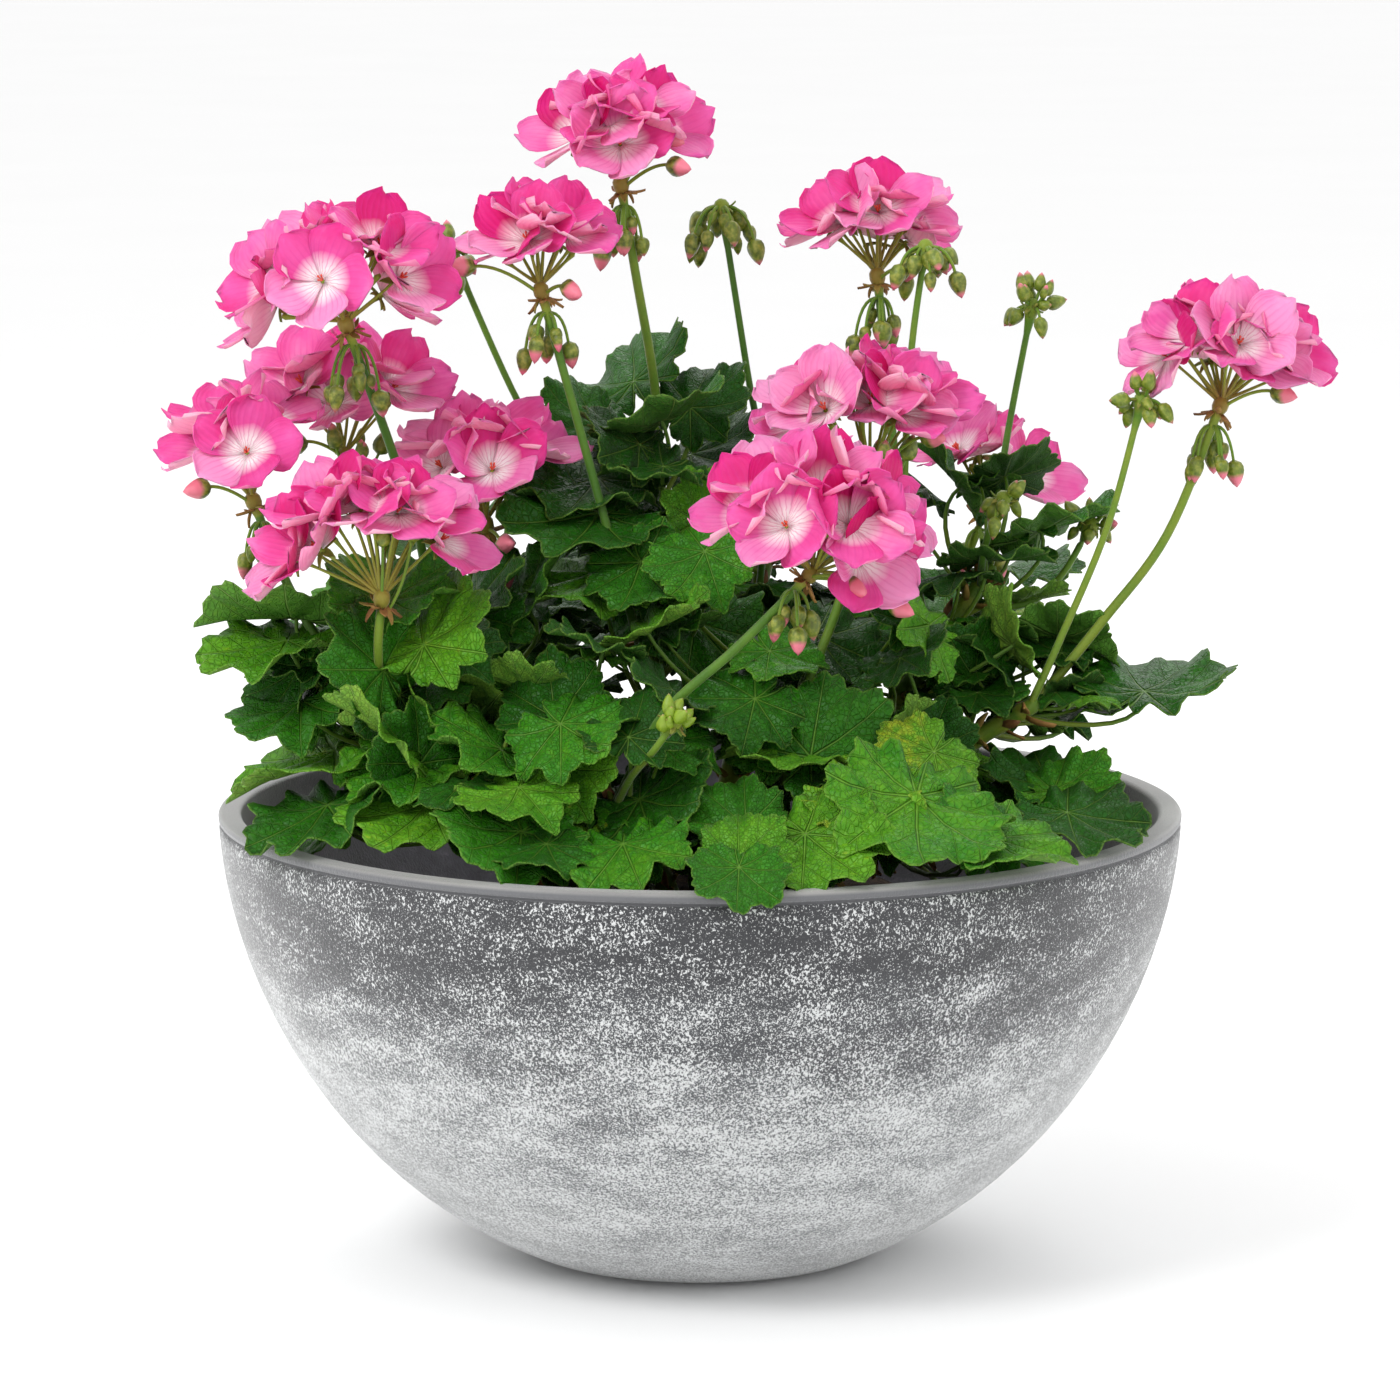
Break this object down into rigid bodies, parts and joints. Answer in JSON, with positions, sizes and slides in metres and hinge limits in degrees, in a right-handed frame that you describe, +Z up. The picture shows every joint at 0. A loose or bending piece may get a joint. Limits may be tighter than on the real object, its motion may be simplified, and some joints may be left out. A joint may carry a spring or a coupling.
{
  "type": "potted geranium",
  "caption": "Bushy geranium with lobed green leaves and pink flower umbels on long stalks, growing in a wide, round-bottomed clay bowl.",
  "frame": {"origin": "centre of the underside of the bowl's foot, on the surface that it stands on", "axes": "+Z up; the picture looks along +Y, with +X to its right"},
  "size_m": [0.4841, 0.4169, 0.4959],
  "materials": {
    "clay": "matte",
    "soil": "matte",
    "leaf": "satin",
    "stalk": "satin",
    "petal": "satin"
  },
  "bodies": {
    "root": {"bowl": "clay", "soil": "soil", "shoot_right": "leaf", "shoot_left_front": "leaf", "shoot_left_back": "leaf", "shoot_centre_tall": "leaf", "shoot_front_low": "leaf", "shoot_centre": "leaf", "shoot_right_back": "leaf", "shoot_back": "leaf", "shoot_back_left": "leaf", "shoot_back_right": "leaf", "shoot_right_low": "leaf", "shoot_left_low": "leaf", "stalk_high_left": "stalk", "stalk_left_behind": "stalk", "stalk_far_left": "stalk", "stalk_front_left": "stalk", "stalk_left_middle": "stalk", "stalk_high_middle_left": "stalk", "stalk_top": "stalk", "stalk_high_right": "stalk", "stalk_far_right": "stalk", "stalk_right_middle": "stalk", "stalk_front_right": "stalk", "stalk_right_behind": "stalk", "stalk_bud_high_left": "stalk", "stalk_bud_high_middle": "stalk", "stalk_bud_high_right": "stalk", "stalk_bud_right_back": "stalk", "stalk_bud_right_tall": "stalk", "stalk_bud_right_short": "stalk", "stalk_bud_right_hidden": "stalk", "stalk_bud_front": "stalk", "stalk_bud_nodding": "stalk", "flowers_high_left": "petal", "flowers_left_behind": "petal", "flowers_far_left": "petal", "flowers_front_left": "petal", "flowers_left_middle": "petal", "flowers_high_middle_left": "petal", "flowers_top": "petal", "flowers_high_right": "petal", "flowers_far_right": "petal", "flowers_right_middle": "petal", "flowers_front_right": "petal", "flowers_right_behind": "petal"}
  },
  "joints": []
}
